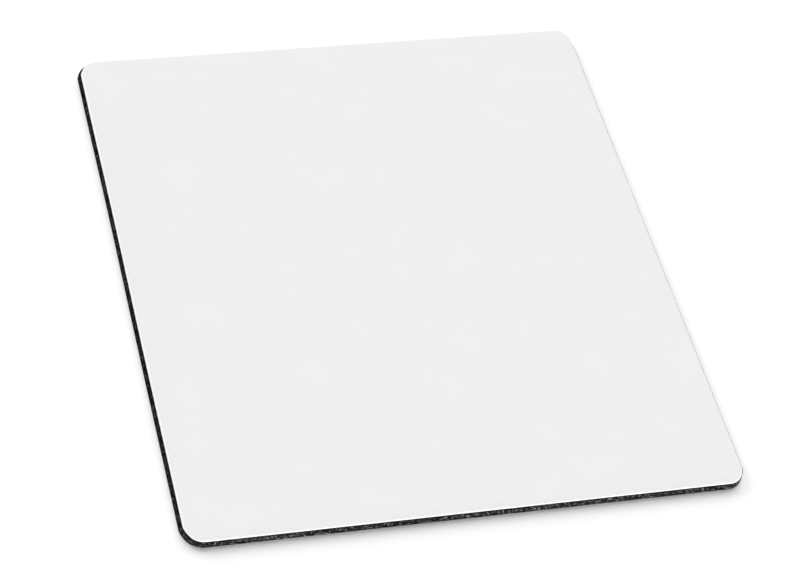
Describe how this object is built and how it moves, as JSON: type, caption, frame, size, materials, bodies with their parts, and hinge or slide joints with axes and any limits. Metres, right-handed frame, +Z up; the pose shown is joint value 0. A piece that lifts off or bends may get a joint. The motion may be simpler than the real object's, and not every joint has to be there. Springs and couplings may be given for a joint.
{
  "type": "mouse pad",
  "caption": "Flat rounded-rectangle desk pad: a white knit cloth face for a computer mouse to glide on, bonded to a black non-slip sponge rubber base.",
  "frame": {"origin": "centre of the underside, on the desk", "axes": "+Z up out of the cloth face, +Y along the long side, +X along the short side"},
  "size_m": [0.2022, 0.2422, 0.002],
  "materials": {
    "knit_cloth": "fine white polyester knit, matt",
    "hot_melt_film": "clear hot-melt adhesive on black sponge, satin",
    "sponge_rubber": "black open-cut sponge rubber, matt"
  },
  "bodies": {
    "root": {"surface_cloth": "knit_cloth", "bonding_film": "hot_melt_film", "foam_base": "sponge_rubber"}
  },
  "joints": []
}
